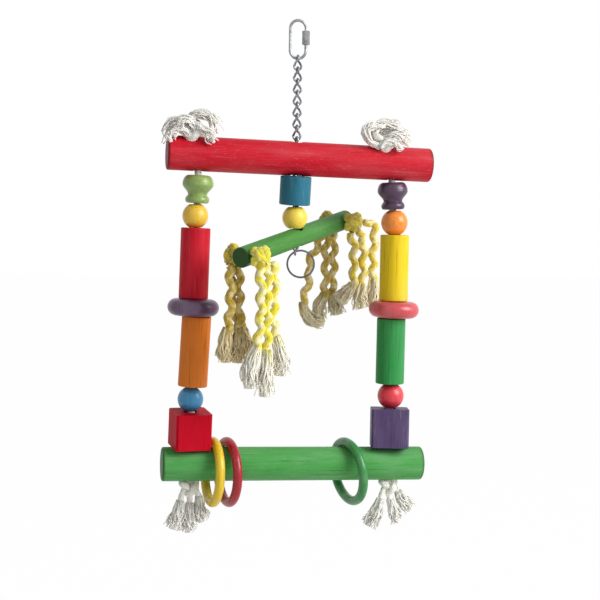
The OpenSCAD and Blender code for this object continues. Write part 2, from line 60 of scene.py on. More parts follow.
# Camera of the photograph, in metres and degrees: place, turn to the right, tilt down, roll
CAMERA_AT = (-0.1825, -0.9293, -0.1349)
CAMERA_TURN, CAMERA_TILT, CAMERA_ROLL = 11.36, 4.15, 0.83
CAMERA_LENS, CAMERA_SENSOR = 77.2, 36.0
LAMPS_AIM_AT = (0, 0, -0.2)
FLOOR_WIDTH, FLOOR_MIDDLE = 12, (0, 2)
FLOOR_WHITE = 0.985  # how much of the floor that the camera sees is plain white, and not lit paper

# Lines in millimetres and degrees. The cross perch, the holes and the routes of the two ropes are those
# of part.scad; the tails and strands lie a little off its routes, where the photo shows them.
CROSS_TURN, CROSS_CLIMB = 43.0, 11.5
CROSS_NEAR_HOLE, CROSS_FAR_HOLE, CROSS_MIDDLE = -59.5, 59.0, 0.25
HOLES = {"left": -71.9, "right": 72.3}
ROUTES = {
    "left": [
        (-72.3, 0, -118), (-73, 0, -140), (-73.8, 0, -175), (-74.2, -0.2, -207), (-74.2, -0.5, -222),
        (-75, -0.7, -250), (-75.7, -1.1, -274), (-76.1, -0.8, -292),
    ],
    "right": [
        (72.9, 0, -122), (74.2, 0, -145), (74.6, 0, -175), (74.9, 0.2, -209), (74.7, 0.5, -235),
        (74.3, 0.7, -262), (74.6, 1.1, -280), (74.5, 0.7, -298),
    ],
}
TAILS = {
    "left": [
        [(-82.8, -2.8, -347.8), (-85, -4, -359), (-89, -6, -371)],
        [(-76.5, -1.2, -349.9), (-77, -3, -363), (-77, -5, -374)],
        [(-69.6, 1.6, -348.5), (-69, 0, -358), (-66, -2, -367)],
    ],
    "right": [
        [(68.6, -2.8, -350.8), (65, -4, -362), (58, -5, -374)],
        [(75.2, -1.2, -353), (78, -3, -363), (81, -5, -372)],
        [(82.2, 2, -349.8), (86, 0, -356), (92, -2, -363)],
    ],
}
STRANDS = {
    "near_front": [
        [(-35.5, -47, -174.5), (-33.1, -47, -187.6), (-32.9, -47, -202.3), (-33.4, -47, -218.4),
         (-35.6, -48, -232), (-40.4, -48.5, -246), (-41, -49, -262)],
        [(-28.6, -44, -174.5), (-27.8, -45, -187.7), (-28.3, -45, -202.4), (-28.3, -46, -218.5),
         (-28.4, -47, -236.6), (-29, -48, -252), (-29.8, -49, -268)],
        [(-24, -41, -174), (-22, -41, -188), (-22.8, -42, -202.7), (-23.4, -42.5, -216), (-21, -43, -229),
         (-17.6, -43, -241), (-18.2, -43, -254)],
    ],
    "near_back": [
        [(-53.6, -36.4, -176.9), (-52.9, -36.6, -188.3), (-52.8, -36.6, -201), (-53.6, -36.4, -215),
         (-56, -36, -229), (-55.6, -35, -245)],
        [(-46.9, -30.6, -177.2), (-46.2, -31, -188.6), (-46, -31, -201.4), (-45.4, -31, -215.6),
         (-46.2, -31.6, -231), (-47, -32, -246)],
        [(-51, -26.4, -176.6), (-49.4, -25.8, -189), (-48.6, -25.6, -201.7), (-46.4, -26, -214.6),
         (-41.4, -27, -228), (-40, -28, -240)],
    ],
    "far_back": [
        [(31.4, 46, -155.6), (25, 47, -168.3), (20.9, 48, -177.7), (20.9, 48, -188.5), (18.6, 48, -200),
         (16.2, 48, -208), (18.4, 48, -217), (25, 48.4, -223.4), (33, 49, -224.6)],
        [(35.4, 49.3, -155.4), (33.8, 50, -172.2), (34.4, 50, -185.5), (33.8, 50, -201), (29.6, 50, -213),
         (30, 50, -223)],
        [(41.4, 53, -154.4), (41, 53, -172.3), (41, 53, -185.6), (40.6, 53, -201), (43.4, 52.4, -211),
         (45.4, 52, -219)],
    ],
    "far_front": [
        [(49.4, 31, -154.4), (52.4, 33, -166), (53, 35, -180), (53, 36, -193), (47.6, 36, -201),
         (42.4, 36, -207.5)],
        [(56.4, 34.6, -153.4), (60.6, 37, -163), (61.6, 39.6, -175.5), (61.8, 40, -190), (59.4, 39.4, -204),
         (61.6, 38.4, -213)],
        [(60.4, 33.4, -146.4), (66.4, 36, -146.4), (70.2, 38, -154), (69.6, 39.6, -167), (69.8, 40, -181.7),
         (70, 40, -194), (69.4, 39.4, -203), (67.8, 38.6, -212)],
    ],
}
PLACES = ("near_front", "near_back", "far_back", "far_front")

# The ropes' knots on the top bar, the loose ends that lie round them, and the knots under the bottom perch
TOP_KNOTS = {"left": (-77, -2, -81.5), "right": (65.5, -2, -86.5)}
LOOSE_ENDS = {
    "left": [
        [(-79.2, -9, -86), (-84.4, -10, -81.4), (-90.2, -11, -81), (-93.8, -12, -85.7), (-93.1, -13, -90.6)],
        [(-76.8, 0, -81), (-84.1, 0, -74.8), (-90.2, -4, -74.5), (-94.1, -8, -80.5), (-95.1, -11, -87.8)],
        [(-78.7, 3, -80), (-78.1, 2, -72.4), (-71.9, 0, -68.8), (-64.3, -3, -71.6), (-59.6, -6, -78.8)],
        [(-80.3, -5, -80), (-76.9, -6, -71.4), (-68.4, -7, -69.9), (-62.2, -9, -74.8), (-59.5, -11, -83.3)],
        [(-76.6, -10, -77.4), (-70.4, -12, -80.8), (-65.4, -13, -85.7), (-62.7, -14, -90.6)],
        [(-73.4, -8, -82.8), (-79.6, -11, -75.4), (-86.8, -12, -76.3), (-91.1, -13, -80.7)],
    ],
    "right": [
        [(60.7, -9, -90), (52.7, -10, -87), (49.8, -9, -79), (55.5, -7, -74.4), (65.2, -5, -75.5)],
        [(63.5, 2, -87), (65.8, 0, -78.1), (72.9, -2, -75.8), (80.1, -4, -79.4), (84.7, -7, -85.3)],
        [(63.4, -7, -89), (69.1, -8, -82.1), (76.4, -9, -82.7), (82.1, -11, -89.3)],
        [(60.1, -11, -91), (65.8, -12, -86.8), (72.4, -13, -88.1), (76.7, -14, -92.4)],
        [(60.9, -2, -86.4), (56.9, -2, -78.4), (62.9, -2, -73.2), (71.8, -3, -74.4), (79.8, -5, -78)],
    ],
}
FOOT_KNOTS = {"left": (-76.6, 0, -340.6), "right": (74.6, 0, -343.8)}

# Cords and frays, in metres: the step between two points of a line, one turn of the plies, and the radius
# of a fray's core: the first number, plus the second times the share of its length, less the third times
# the square of that share
CORD_STEP, YARN_STEP, END_STEP = 0.0012, 0.0008, 0.0015
PLIES, FRAY_PLIES, ROPE_LAY, YARN_LAY, FRAY_LAY, KNOB_LAY = 3, 7, 0.013, 0.02, 0.05, 0.011
TAIL_RADIUS, TAIL_CORE, YARN_CORE = 0.0023, (0.0022, 0.0026, 0.0014), (0.0026, 0.0034, 0.002)
TAIL_FRAY_FROM = 0.45  # share of a tail's length that is still rope
YARN_FRAY_FROM = {"near": 0.72, "far": 0.76}  # the same for the crimped yarn, by end of the cross perch
FRAY_OVERLAP = 0.08  # share of the length by which a fray starts inside the yarn
CORE_RADIUS = 0.003  # the yarn inside the cross perch, from knot to knot
YARN_FACES = (-0.19, -0.98, 0)  # the side that the flat waves of the yarn show: the camera's

# Threads of a fray: how many, and how far they lie from its line at its start and at its end, in metres
TAIL_THREADS, TAIL_SPREAD, MIDDLE_TAIL_SPREAD = 70, (0.0023, 0.0068), (0.0023, 0.0052)
YARN_THREADS, YARN_SPREAD = 64, (0.0028, 0.0070)
END_THREADS, END_SPREAD, END_RADIUS, END_CURL = 22, (0.0020, 0.0040), 0.0029, 0.0022
THREAD_STEPS, THREAD_SIDES, THREAD_CURL = 9, 5, 0.0016

# Sides of the tubes, enough for the grooves between the plies
ROPE_SIDES, CORD_SIDES, FRAY_SIDES, CORE_SIDES = 18, 16, 14, 12

# Colours of a ramp that steers a mix, and a finish: lacquered beads and rings shine, stained wood doesn't
BLACK, WHITE = (0, 0, 0, 1), (1, 1, 1, 1)
LACQUER = {"rough": 0.3, "gloss": 0.5}
RIM_FROM, RIM_TO = 0.0026, 0.0006  # the dark rim at a bar's end, in metres before the end

# Noise on the surfaces, in steps per metre, and its share of them along the grain
GRAIN, PORES, WASH, FLECKS = 800, 1500, 90, 1300
ALONG_GRAIN, ALONG_PATCH = 0.035, 0.22
WIRE_STAIN, LOOSE_FIBRE, DYE_PATCH = 260, 330, 230
LAID_FIBRE = (26, 240, 1)  # round the yarn, and per metre along it


def linear(hex_colour):
    """An sRGB hex colour as linear red, green, blue and alpha."""
    out = []
    for i in (0, 2, 4):
        c = int(hex_colour[i:i + 2], 16) / 255
        out.append(c / 12.92 if c <= 0.04045 else ((c + 0.055) / 1.055) ** 2.4)
    return (*out, 1.0)


def colour(name, hex_colour, description):
    return bpy.props.FloatVectorProperty(
        name=name, description=description, subtype="COLOR", size=4, min=0, max=1, default=linear(hex_colour)
    )


def size(name, millimetres, description):
    return bpy.props.FloatProperty(
        name=name, description=description, unit="LENGTH", default=millimetres * MM, min=0.0001, max=0.05
    )


def number(name, value, description, **settings):
    return bpy.props.FloatProperty(name=name, description=description, default=value, **settings)


class SwingDyes(bpy.types.PropertyGroup):
    red: colour("Red", "C40A24", "Dye of the top bar, the left upper dowel and the left block")
    green: colour("Green", "3E9840", "Dye of the bottom perch")
    blue: colour("Blue", "236A80", "Dye of the hanger dowel")
    sky: colour("Sky blue", "3B8FC0", "Dye of the left lower ball")
    yellow: colour("Yellow", "E3C21A", "Dye of the right upper dowel")
    orange: colour("Orange", "E07A22", "Dye of the left lower dowel")
    purple: colour("Purple", "553058", "Dye of the left disc and, deeper, of the right turned bead")


class SwingYarn(bpy.types.PropertyGroup):
    cotton: colour("Cotton", "F7F3EA", "Undyed cotton of the ropes, the tails and their frayed ends")
    yellow: colour("Yarn yellow", "E6D83A", "Dye of the near end's front yarn, and part of every knot's")
    # Yarn shade is partly deeper dye and partly painted shade: it colours the dark streaks of the dyed
    # fibres, spread by noise along the yarn, not only between the crimps.
    shade: colour("Yarn shade", "B3A032", "Deeper dye between the crimps of that yarn")
    yarn_radius: size("Yarn radius", 3.0, "Half of the crimped yarn's thickness")
    crimp_length: size("Crimp length", 14.2, "One wave of the crimped yarn")
    crimp_reach: size("Crimp reach", 1.5, "How far the wave leaves the middle line")
    rope_radius: size("Rope radius", 2.75, "Half of the cotton rope's thickness")
    thread_radius: size("Thread radius", 0.75, "Half of a frayed thread's thickness, coarse so that it shows")


class SwingStudio(bpy.types.PropertyGroup):
    key: number("Key light", 27.0, "Softbox high on the right", unit="POWER")
    fill: number("Fill light", 0.6, "Softbox on the left", unit="POWER")
    room: number("Room light", 0.36, "Strength of the light from all round")
    floor_drop: number("Floor drop", 0.62, "Height of the floor below the hang point", unit="LENGTH")


def add_node(tree, kind, links=(), **settings):
    """Adds a shader node, sets its values and its sockets, and links what feeds it."""
    node = tree.nodes.new(kind)
    for key, value in settings.items():
        if hasattr(node, key):
            setattr(node, key, value)
        else:
            node.inputs[key.replace("_", " ")].default_value = value
    for socket, source in links:
        tree.links.new(source, node.inputs[socket])
    return node


def feed(tree, socket, value):
    """Links a socket to its source, or sets it to a plain value."""
    if isinstance(value, bpy.types.NodeSocket):
        tree.links.new(value, socket)
    else:
        socket.default_value = value


def set_inputs(node, **values):
    for key, value in values.items():
        node.inputs[key.replace("_", " ")].default_value = value


def worked(tree, operation, *values):
    """The outcome of a math node over sockets or plain numbers."""
    node = add_node(tree, "ShaderNodeMath", operation=operation)
    for index, value in enumerate(values):
        feed(tree, node.inputs[index], value)
    return node.outputs[0]


def place_of(tree, kind="Object"):
    return add_node(tree, "ShaderNodeTexCoord").outputs[kind]


def stretched(tree, place, scale):
    """A texture place with its three numbers scaled; under 1 draws the texture out."""
    node = add_node(tree, "ShaderNodeMapping", [("Vector", place)])
    node.inputs["Scale"].default_value = scale
    return node.outputs[0]


def noise(tree, place, scale, detail, roughness=0.5):
    return add_node(
        tree, "ShaderNodeTexNoise", [("Vector", place)], Scale=scale, Detail=detail, Roughness=roughness
    ).outputs["Fac"]


def relief(tree, shader, height, strength, distance):
    """Fine relief under what the mesh can show, distance metres deep."""
    bump = add_node(tree, "ShaderNodeBump", [("Height", height)], Strength=strength, Distance=distance)
    tree.links.new(bump.outputs["Normal"], shader.inputs["Normal"])


def ramp(tree, source, stops):
    """A colour ramp over the given (place, colour) stops."""
    node = add_node(tree, "ShaderNodeValToRGB", [("Fac", source)])
    while len(node.color_ramp.elements) < len(stops):
        node.color_ramp.elements.new(0.5)
    for element, (place, tint) in zip(node.color_ramp.elements, stops):
        element.position, element.color = place, tint
    return node.outputs["Color"]


def mixed(tree, kind, factor, a, b):
    """Mixes two colours; factor, a and b are sockets or plain values."""
    node = tree.nodes.new("ShaderNodeMix")
    node.data_type, node.blend_type = "RGBA", kind
    for index, value in ((0, factor), (6, a), (7, b)):
        feed(tree, node.inputs[index], value)
    return node.outputs[2]


def seen(tree):
    """1 for what the camera sees, itself or by way of a glossy or clear piece, and 0 for light on its way."""
    ray = add_node(tree, "ShaderNodeLightPath")
    direct = worked(tree, "MAXIMUM", ray.outputs["Is Camera Ray"], ray.outputs["Is Glossy Ray"])
    return worked(tree, "MAXIMUM", direct, ray.outputs["Is Transmission Ray"])


def shown_instead(tree, share, lit, shown, output):
    """Shows one shader in the place of another by the given share."""
    both = add_node(tree, "ShaderNodeMixShader", [(0, share), (1, lit.outputs[0]), (2, shown.outputs[0])])
    tree.links.new(both.outputs[0], tree.nodes[output].inputs["Surface"])


def new_material(name):
    material = bpy.data.materials.new(name)
    material.use_nodes = True
    tree = material.node_tree
    shader = tree.nodes["Principled BSDF"]
    return material, tree, shader


def mixed_tint(a, b, share):
    """A colour between two dyes."""
    return tuple(x + (y - x) * share for x, y in zip(a, b))


def toned(tint, factor):
    """The same dye, darker or paler, kept within what a colour can be."""
    if factor <= 1:
        return (*[c * factor for c in tint[:3]], 1.0)
    lift = factor - 1
    return (*[c + (1 - c) * lift for c in tint[:3]], 1.0)


def grey(value):
    return (value, value, value, 1)


# Stained softwood: the water dye sinks into the early wood and leaves paler streaks under 1 mm wide
# that run a few centimetres along the grain, with washed patches between them, and the end grain,
# which drinks more dye, is darker. The dried dye leaves a low satin sheen. The bars also have short
# worn flecks and are painted darker just before each end. Lacquered beads look wetter.
def stained_wood(
    name, tint, turn=(0, 0, 0), washed=0.2, streak=0.55, rough=0.5, gloss=0.22, ends=1.0, rims=None
):
    """Wood with its grain along z, turned by turn degrees; rims, for a bar, is what run_of says."""
    material, tree, shader = new_material(name)
    turned = Euler([math.radians(a) for a in turn])
    upright = add_node(tree, "ShaderNodeMapping", [("Vector", place_of(tree))], vector_type="TEXTURE")
    upright.inputs["Rotation"].default_value = turned
    upright = upright.outputs[0]
    grain_way = stretched(tree, upright, (1, 1, ALONG_GRAIN))
    patch_way = stretched(tree, upright, (1, 1, ALONG_PATCH))
    paint = ramp(tree, noise(tree, grain_way, GRAIN, 5, 0.62), [
        (0.3, toned(tint, 0.62)), (0.46, tint), (0.6, tint), (0.8, toned(tint, 1.0 + 0.24 * streak)),
    ])
    patches = ramp(tree, noise(tree, patch_way, WASH, 3, 0.55), [(0.45, BLACK), (0.8, grey(washed))])
    paint = mixed(tree, "MIX", patches, paint, toned(tint, 1.3))
    if rims:
        worn = ramp(tree, noise(tree, patch_way, FLECKS, 2), [(0.6, BLACK), (0.78, grey(0.32))])
        paint = mixed(tree, "MIX", worn, paint, toned(tint, 1.22))
    if ends < 1:
        facing = add_node(
            tree, "ShaderNodeVectorMath", [(0, place_of(tree, "Normal"))], operation="DOT_PRODUCT"
        )
        facing.inputs[1].default_value = turned.to_matrix() @ Vector((0, 0, 1))
        cut = ramp(tree, worked(tree, "ABSOLUTE", facing.outputs["Value"]), [(0.7, BLACK), (0.9, WHITE)])
        paint = mixed(tree, "MIX", cut, paint, toned(tint, ends))
    # A bar is painted darker over its last few millimetres before each end.
    if rims:
        middle, half = rims
        along = add_node(tree, "ShaderNodeSeparateXYZ", [("Vector", upright)]).outputs["Z"]
        off = worked(tree, "ABSOLUTE", worked(tree, "SUBTRACT", along, middle))
        near_end = add_node(tree, "ShaderNodeMapRange", [("Value", off)])
        set_inputs(near_end, From_Min=half - RIM_FROM, From_Max=half - RIM_TO)
        paint = mixed(tree, "MIX", near_end.outputs[0], paint, toned(tint, 0.3))
    feed(tree, shader.inputs["Base Color"], paint)
    relief(tree, shader, noise(tree, grain_way, PORES, 3), 0.22, 0.0004)
    set_inputs(shader, Roughness=rough, IOR=1.48, Specular_IOR_Level=gloss)
    return material


def run_of(node, turn):
    """The middle and half the length of a CAD node along its grain, in metres."""
    grain = Euler([math.radians(a) for a in turn]).to_matrix() @ Vector((0, 0, 1))
    along = [grain.dot(v.co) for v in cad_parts[node].data.vertices]
    return (min(along) + max(along)) / 2, (max(along) - min(along)) / 2


# Zinc-plated steel wire, drawn and bent: a grey metal with soft highlights over fine dull stains.
def plated_wire(name, hex_colour, rough):
    material, tree, shader = new_material(name)
    tint = linear(hex_colour)
    stain = noise(tree, place_of(tree), WIRE_STAIN, 4)
    feed(tree, shader.inputs["Base Color"], ramp(tree, stain, [(0.35, toned(tint, 0.6)), (0.6, tint)]))
    relief(tree, shader, stain, 0.15, 0.0002)
    set_inputs(shader, Metallic=1.0, Roughness=rough)
    return material


# Soft cotton fibre, spun and twisted: a matt, slightly fuzzy surface that lets some light through. The
# fibres lie along the ply. The UV map runs round the yarn in x and along it in y, in metres; on frays
# y is the share of the length. Dyed yarn is patchy, and its frayed end loses the dye along its length.
def spun_cotton(name, light, dark, dye=None, dye_shade=None, frayed=None, loose=False):
    """Cotton between dark and light; loose fibres lie all ways, frayed steers the dye along the length."""
    material, tree, shader = new_material(name)
    if loose:
        fibre = noise(tree, place_of(tree), LOOSE_FIBRE, 2)
    else:
        fibre = noise(tree, stretched(tree, place_of(tree, "UV"), LAID_FIBRE), 1, 4)
    # The dark end of the fibre ramp is partly random fibre tone and partly painted shade in the gaps between
    # the fibres.
    base = ramp(tree, fibre, [(0.32, dark), (0.55, light)])
    if dye:
        patch = noise(tree, place_of(tree), DYE_PATCH, 2, 0.4)
        share = ramp(tree, patch, [(0.44, WHITE), (0.6, grey(0.2))])
        if frayed:
            along = add_node(tree, "ShaderNodeSeparateXYZ", [("Vector", place_of(tree, "UV"))]).outputs["Y"]
            share = mixed(tree, "MULTIPLY", 1.0, share, ramp(tree, along, frayed))
        # dye_shade does the same on the dyed fibres: partly deeper dye, partly painted shade between the
        # fibres.
        base = mixed(tree, "MIX", share, base, ramp(tree, fibre, [(0.3, dye_shade), (0.52, dye)]))
    feed(tree, shader.inputs["Base Color"], base)
    relief(tree, shader, fibre, 0.4, 0.0005)
    set_inputs(
        shader, Roughness=0.9, IOR=1.46, Specular_IOR_Level=0.15, Sheen_Weight=0.2, Sheen_Roughness=0.6,
        Subsurface_Weight=0.45, Subsurface_Radius=(1, 0.9, 0.8), Subsurface_Scale=0.004,
    )
    return material


def smooth_line(points, step):
    """A smooth line in metres through points in millimetres, with a point about every step metres."""
    p = [Vector(q) * MM for q in points]
    p = [2 * p[0] - p[1]] + p + [2 * p[-1] - p[-2]]
    out = []
    for a, b, c, d in zip(p, p[1:], p[2:], p[3:]):
        n = max(2, int((c - b).length / step))
        for i in range(n):
            t = i / n
            second, third = 2 * a - 5 * b + 4 * c - d, 3 * b - a - 3 * c + d
            out.append(0.5 * (2 * b + (c - a) * t + second * t * t + third * t * t * t))
    return out + [p[-2]]


def carried_frames(line, closed=False):
    """For each point of a line its direction and two directions across it that don't twist."""
    out = []
    side = Vector((0.31, 0.9, 0.2))
    count = len(line)
    for i in range(count):
        after = line[(i + 1) % count] if closed else line[min(i + 1, count - 1)]
        before = line[i - 1] if closed else line[max(i - 1, 0)]
        way = (after - before).normalized()
        side = (side - side.dot(way) * way).normalized()
        out.append((way, side, way.cross(side)))
    return out


class Spun:
    """Gathers tubes of rope, yarn and thread into one mesh, with a UV map along them."""

    def __init__(self):
        self.points, self.faces, self.uvs, self.slots = [], [], [], []

    def tube(self, line, radius, sides=8, plies=0, groove=0.0, lay=0.012, closed=False, kind=0, unit=False):
        """A tube along line, with plies that twist round it once in lay metres.

        radius is a number or a function of the share of the length. The UV map's y is in metres, or
        with unit the share of the length. kind is the number of the tube's material.
        """
        start, count, length = len(self.points), len(line), 0.0
        lengths = [0.0]
        for a, b in zip(line, line[1:]):
            length += (b - a).length
            lengths.append(length)
        whole = length or 1.0
        per = whole if unit else 1
        for i, (way, side, over) in enumerate(carried_frames(line, closed)):
            r = radius(lengths[i] / whole) if callable(radius) else radius
            turn = 2 * math.pi * lengths[i] / lay
            for k in range(sides):
                a = 2 * math.pi * k / sides
                dent = groove * (1 - abs(math.cos(plies * (a - turn) / 2))) if plies else 0
                self.points.append(line[i] + r * (1 - dent) * (math.cos(a) * side + math.sin(a) * over))
        rows = count if closed else count - 1
        for i in range(rows):
            for k in range(sides):
                n, m = (k + 1) % sides, (i + 1) % count
                self.faces.append((
                    start + i * sides + k, start + i * sides + n, start + m * sides + n, start + m * sides + k
                ))
                v0 = lengths[i] / per
                v1 = (lengths[i + 1] if i + 1 < count else whole) / per
                u0, u1 = k / sides, (k + 1) / sides
                self.uvs += [(u0, v0), (u1, v0), (u1, v1), (u0, v1)]
                self.slots.append(kind)
        if not closed:
            for row, order in ((0, reversed(range(sides))), (count - 1, range(sides))):
                face = [start + row * sides + k for k in order]
                self.faces.append(tuple(face))
                v = 0 if row == 0 else whole / per
                self.uvs += [(k / sides, v) for k in range(len(face))]
                self.slots.append(kind)

    def knot(self, radius, lay, *knot, kind=0, start=0.0):
        """A knot of twisted rope; knot is what knot_line takes."""
        line = knot_line(*knot, start=start)
        self.tube(line, radius, CORD_SIDES, plies=PLIES, groove=0.2, lay=lay, closed=True, kind=kind)

    def threads(self, line, count, spread, thread_r, seed, kind=0, curl=THREAD_CURL):
        """A frayed end: count threads that spread round line, each with its own length and curl."""
        start_r, end_r = spread
        pick = random.Random(seed)
        frames = carried_frames(line)
        for _ in range(count):
            angle = pick.uniform(0, 2 * math.pi)
            reach = math.sqrt(pick.random())
            length = pick.uniform(0.72, 1.0)
            bend, bend2 = pick.uniform(0, 2 * math.pi), pick.uniform(0, 2 * math.pi)
            wave = pick.uniform(1.0, 2.2)
            path = []
            for j in range(THREAD_STEPS + 1):
                t = j / THREAD_STEPS * length
                f = t * (len(line) - 1)
                i = min(int(f), len(line) - 2)
                middle = line[i].lerp(line[i + 1], f - i)
                way, side, over = frames[i]
                flare = start_r + (end_r - start_r) * t ** 0.8
                out = reach * flare * (math.cos(angle) * side + math.sin(angle) * over)
                beat = wave * math.pi * t * 2
                sway = curl * t * (math.sin(beat + bend) * side + math.cos(beat + bend2) * over)
                path.append(middle + out + sway)
            thick = thread_r * pick.uniform(0.75, 1.25)
            self.tube(path, lambda s, r=thick: r * (1 - 0.45 * s), THREAD_SIDES, kind=kind, unit=True)

    def piece(self, name, materials):
        mesh = bpy.data.meshes.new(name)
        mesh.from_pydata([tuple(p) for p in self.points], [], self.faces)
        uv = mesh.uv_layers.new(name="UVMap")
        uv.data.foreach_set("uv", [c for pair in self.uvs for c in pair])
        for material in materials:
            mesh.materials.append(material)
        mesh.polygons.foreach_set("material_index", self.slots)
        mesh.polygons.foreach_set("use_smooth", [True] * len(mesh.polygons))
        mesh.update()
        obj = bpy.data.objects.new(name, mesh)
        bpy.context.scene.collection.objects.link(obj)
        return obj


def frayed_end(line, core, count, spread, thread_r, seed):
    """The frayed end of a cord along line: a soft core that swells, and single threads round it."""
    first, swell, thin = core
    fray = Spun()
    fray.tube(
        line, lambda s: first + swell * s - thin * s * s, FRAY_SIDES, plies=FRAY_PLIES, groove=0.28,
        lay=FRAY_LAY, unit=True,
    )
    fray.threads(line, count, spread, thread_r, seed)
    return fray


def knot_line(middle, across, over, wide, tall, steps=96, start=0.0):
    """The closed line of a three-lobed knot, wide millimetres across its lobes, with its axis along over."""
    across, over = Vector(across).normalized(), Vector(over).normalized()
    third = over.cross(across)
    out = []
    for i in range(steps):
        t = 2 * math.pi * i / steps + start
        x = (math.sin(t) + 2 * math.sin(2 * t)) / 3 * wide / 2
        y = (math.cos(t) - 2 * math.cos(2 * t)) / 3 * wide / 2
        z = -math.sin(3 * t) * tall / 2
        out.append((Vector(middle) + x * across + y * third + z * over) * MM)
    return out


def wavy(line, crimp, reach, phase, facing):
    """The line of a crimped yarn: a flat wave along line, in the plane that faces the given direction."""
    out, length, last = [], 0.0, line[0]
    facing = Vector(facing)
    for p, (way, _, _) in zip(line, carried_frames(line)):
        length += (p - last).length
        last = p
        side = way.cross(facing).normalized()
        ease = min(1.0, length / 0.004)  # the wave grows over the first 4 mm
        turn = 2 * math.pi * length / crimp + phase
        out.append(p + reach * ease * math.sin(turn) * side + 0.25 * reach * ease * math.cos(turn) * facing)
    return out


def run_length(line):
    return sum((q - p).length for p, q in zip(line, line[1:]))


def dress(material, *nodes):
    """Gives CAD nodes their material."""
    for name in nodes:
        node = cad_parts[name]
        node.data.materials.clear()
        node.data.materials.append(material)


def deselect():
    if bpy.context.object and bpy.context.object.mode != "OBJECT":
        bpy.ops.object.mode_set(mode="OBJECT")
    bpy.ops.object.select_all(action="DESELECT")


def settle(obj):
    """Puts an object's place into its mesh."""
    deselect()
    obj.select_set(True)
    bpy.context.view_layer.objects.active = obj
    bpy.ops.object.transform_apply(location=True, rotation=True, scale=True)
    return obj


class SWING_OT_metal(bpy.types.Operator):
    """Finishes the quick link, its nut, the chain and the split ring"""

    bl_idname = "swing.metal"
    bl_label = "Wire and chain"

    def execute(self, context):
        dress(plated_wire("zinc plated link wire", "9A9C9E", 0.34), "quick_link", "sleeve_nut")
        dress(
            plated_wire("zinc plated chain wire", "8E9094", 0.32),
            *[f"chain_link_{k}" for k in range(1, 8)], "inner_chain"
        )
        dress(plated_wire("spring steel ring wire", "707276", 0.32), "split_ring")
        return {"FINISHED"}


class SWING_OT_bars(bpy.types.Operator):
    """Finishes the top bar, the bottom perch and the cross perch"""

    bl_idname = "swing.bars"
    bl_label = "Bars and perches"

    def execute(self, context):
        dyes = context.scene.swing_dyes
        level, aslant = (0, 90, 0), (0, 90 - CROSS_CLIMB, CROSS_TURN)
        for node, name, tint, turn, washed in (
            ("top_bar", "red stained pine bar", tuple(dyes.red), level, 0.14),
            ("bottom_perch", "green stained pine perch", toned(tuple(dyes.green), 1.02), level, 0.3),
            ("cross_perch", "green stained pine cross perch", linear("458338"), aslant, 0.12),
        ):
            dress(stained_wood(name, tint, turn, washed, 0.5, ends=0.62, rims=run_of(node, turn)), node)
        return {"FINISHED"}


class SWING_OT_beads(bpy.types.Operator):
    """Finishes the turned beads, balls, dowels and discs strung on the ropes and the chain"""

    bl_idname = "swing.beads"
    bl_label = "Strung beads"

    def execute(self, context):
        dyes = context.scene.swing_dyes
        purple = tuple(dyes.purple)
        for node, name, tint, washed, finish in (
            ("hanger_dowel", "blue stained birch dowel", tuple(dyes.blue), 0.08, {}),
            ("hanger_ball", "yellow dyed beech ball", linear("EFD04A"), 0.2, LACQUER),
            ("left_turned_bead", "green dyed beech bead", linear("8AA458"), 0.1, LACQUER),
            ("left_upper_ball", "amber dyed beech ball", linear("E9BE3A"), 0.2, LACQUER),
            ("left_upper_dowel", "red stained birch dowel", tuple(dyes.red), 0.04, {"streak": 0.3}),
            ("left_disc", "purple dyed beech disc", toned(purple, 1.02), 0.25, LACQUER),
            ("left_lower_dowel", "orange stained birch dowel", tuple(dyes.orange), 0.06, {"streak": 0.4}),
            ("left_lower_ball", "sky blue dyed beech ball", tuple(dyes.sky), 0.2, LACQUER),
            ("right_turned_bead", "purple dyed beech bead", toned(purple, 0.6), 0.1, LACQUER),
            ("right_upper_ball", "orange dyed beech ball", linear("EE8A2E"), 0.25, LACQUER),
            ("right_upper_dowel", "yellow stained birch dowel", tuple(dyes.yellow), 0.2, {}),
            ("right_disc", "red dyed beech disc", linear("C6484E"), 0.25, LACQUER),
            ("right_lower_dowel", "green stained birch dowel", linear("2A8A42"), 0.1, {}),
            ("right_lower_ball", "red dyed beech ball", linear("D8303E"), 0.2, LACQUER),
        ):
            dress(stained_wood(name, tint, washed=washed, **finish), node)
        return {"FINISHED"}


class SWING_OT_rings(bpy.types.Operator):
    """Finishes the loose wooden rings"""

    bl_idname = "swing.rings"
    bl_label = "Loose rings"

    def execute(self, context):
        for node, name, tint, washed in (
            ("yellow_ring", "yellow dyed ring", "E0BE16", 0.1),
            ("red_ring", "red dyed ring", "A00C20", 0.1),
            # The green ring's heavy pale patches are partly uneven dye and partly a painted highlight,
            # lightening it as the light on its front does.
            ("green_ring", "green dyed ring", "308440", 0.6),
        ):
            dress(stained_wood(name, linear(tint), washed=washed, **LACQUER), node)
        return {"FINISHED"}


class SWING_OT_blocks(bpy.types.Operator):
    """Finishes the two strung blocks"""

    bl_idname = "swing.blocks"
    bl_label = "Blocks"

    def execute(self, context):
        red = tuple(context.scene.swing_dyes.red)
        dress(stained_wood("red stained pine block", red, washed=0.01, streak=0.05, gloss=0.06), "left_block")
        dress(stained_wood("purple stained pine block", linear("503F66"), washed=0.14), "right_block")
        return {"FINISHED"}


